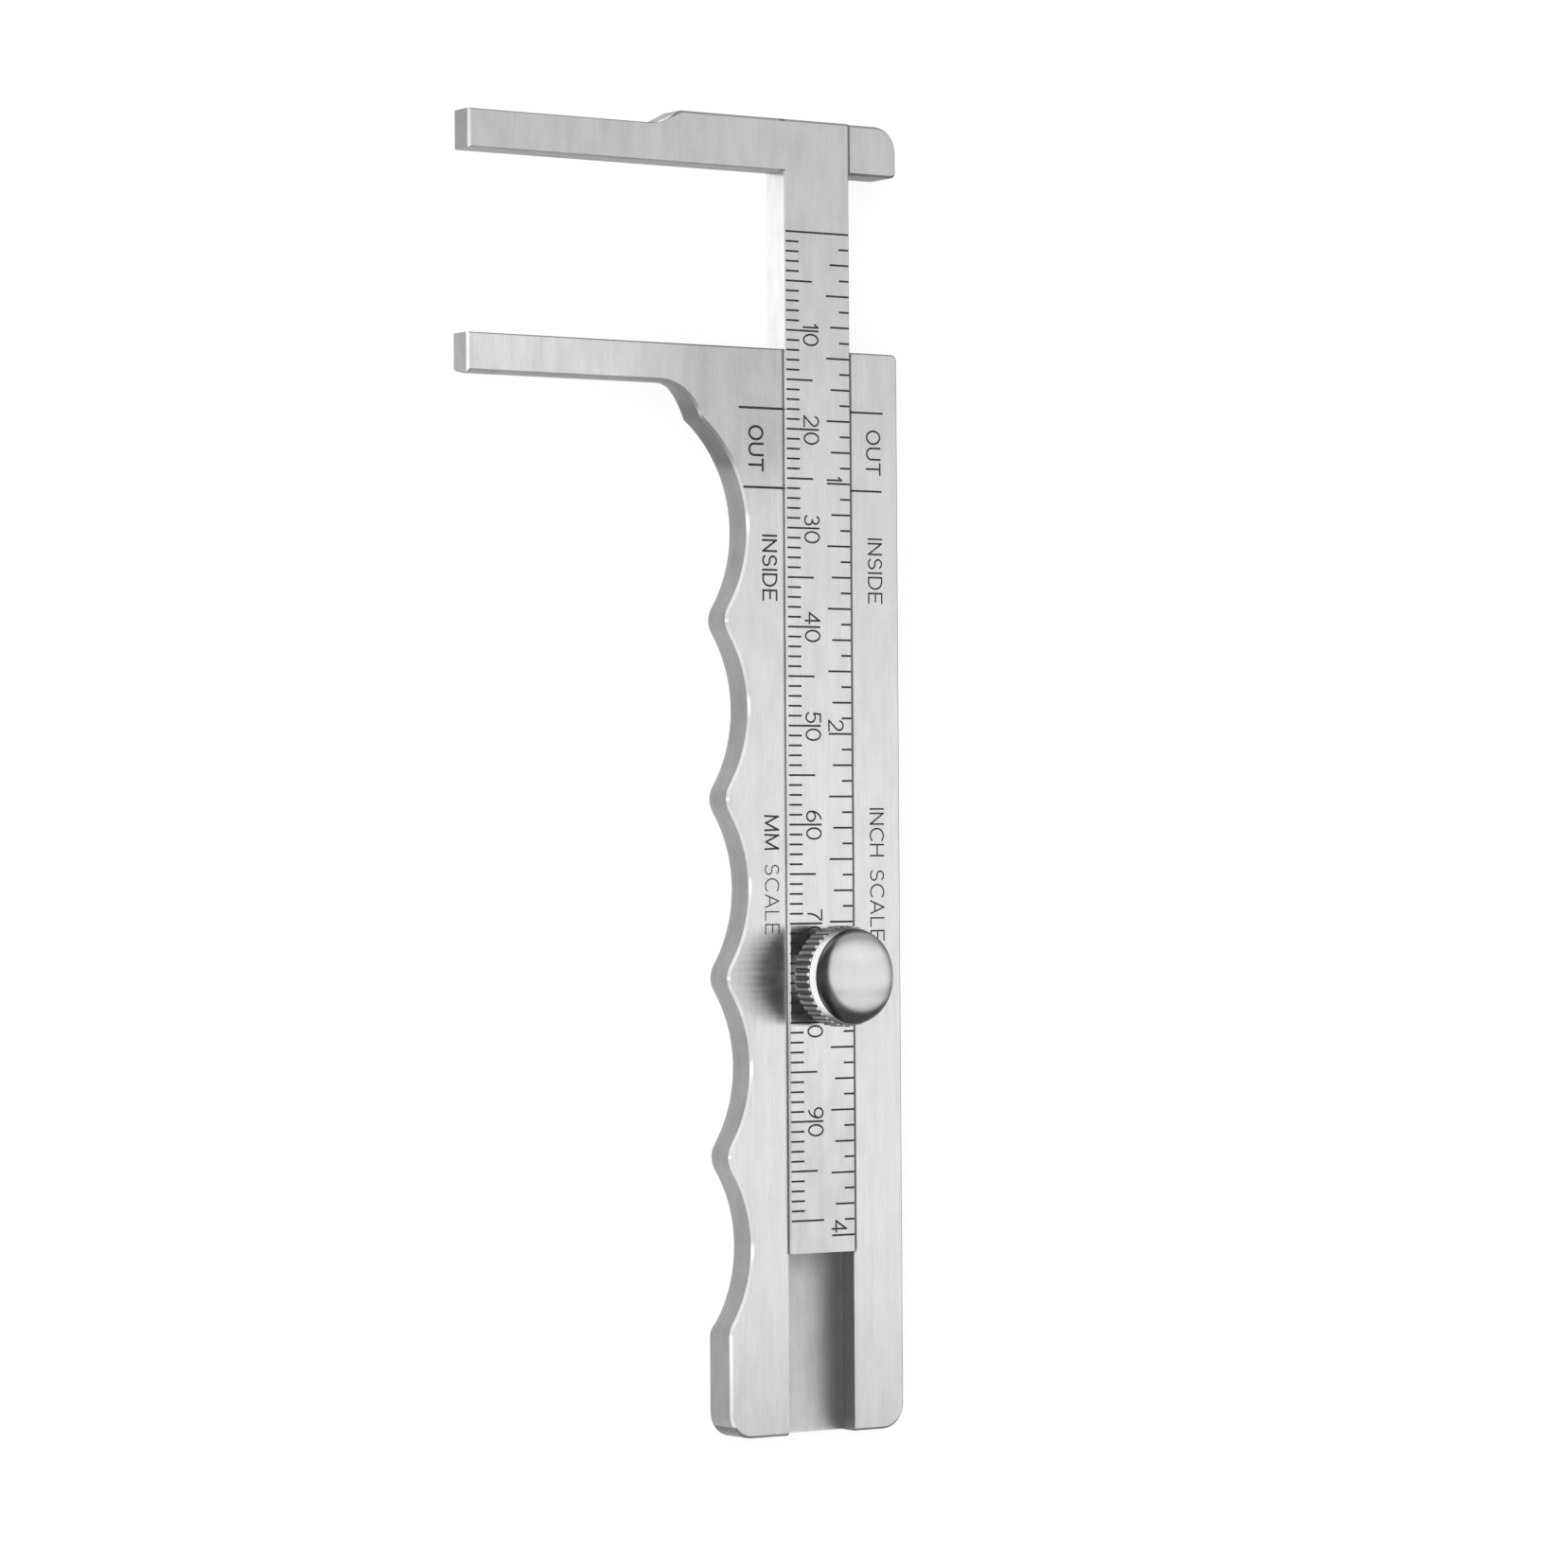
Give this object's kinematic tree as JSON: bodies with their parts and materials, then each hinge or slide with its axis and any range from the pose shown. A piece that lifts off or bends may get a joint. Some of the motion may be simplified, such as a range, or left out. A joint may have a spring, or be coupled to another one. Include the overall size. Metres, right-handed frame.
{
  "type": "surgical caliper",
  "caption": "Hand caliper for bone: slim straight jaws, sliding graduated bar in an undercut channel, scalloped finger grip and knurled lock screw.",
  "frame": {"origin": "under the middle of the whole caliper at rest, on the plane of the handle plate's back", "axes": "+Y along the sliding bar, towards the moving jaw; -X towards the jaw tips; +Z out of the engraved face, towards the lock knob"},
  "size_m": [0.0514, 0.133, 0.0109],
  "materials": {
    "satin_steel": "satin stainless steel, brushed along the bar",
    "turned_steel": "turned stainless steel",
    "polished_steel": "polished stainless steel",
    "pad_brass": "turned brass"
  },
  "bodies": {
    "handle": {"handle_plate": "satin_steel", "stop_pin": "turned_steel"},
    "slide": {"slide_bar": "satin_steel", "stop_block": "satin_steel", "thread_bush": "turned_steel"},
    "pad": {"lock_pad": "pad_brass"},
    "screw": {"lock_stud": "turned_steel", "lock_knob": "polished_steel"}
  },
  "joints": [
    {"name": "bar_travel", "type": "slide", "parent": "handle", "child": "slide", "axis": [0, 1, 0], "range_m": [-0.01798, 0.082]},
    {"name": "pad_travel", "type": "slide", "parent": "slide", "child": "pad", "axis": [0, 0, 1], "range_m": [-0.0002, 0.00045]},
    {"name": "lock_turn", "type": "hinge", "parent": "pad", "child": "screw", "pos_m": [0.0155, -0.02018, 0.00445], "axis": [0, 0, 1], "range_deg": [-160, 360]}
  ],
  "couplings": [
    {"joint": "lock_turn", "follows": "pad_travel", "rad_per_m": 13963}
  ]
}
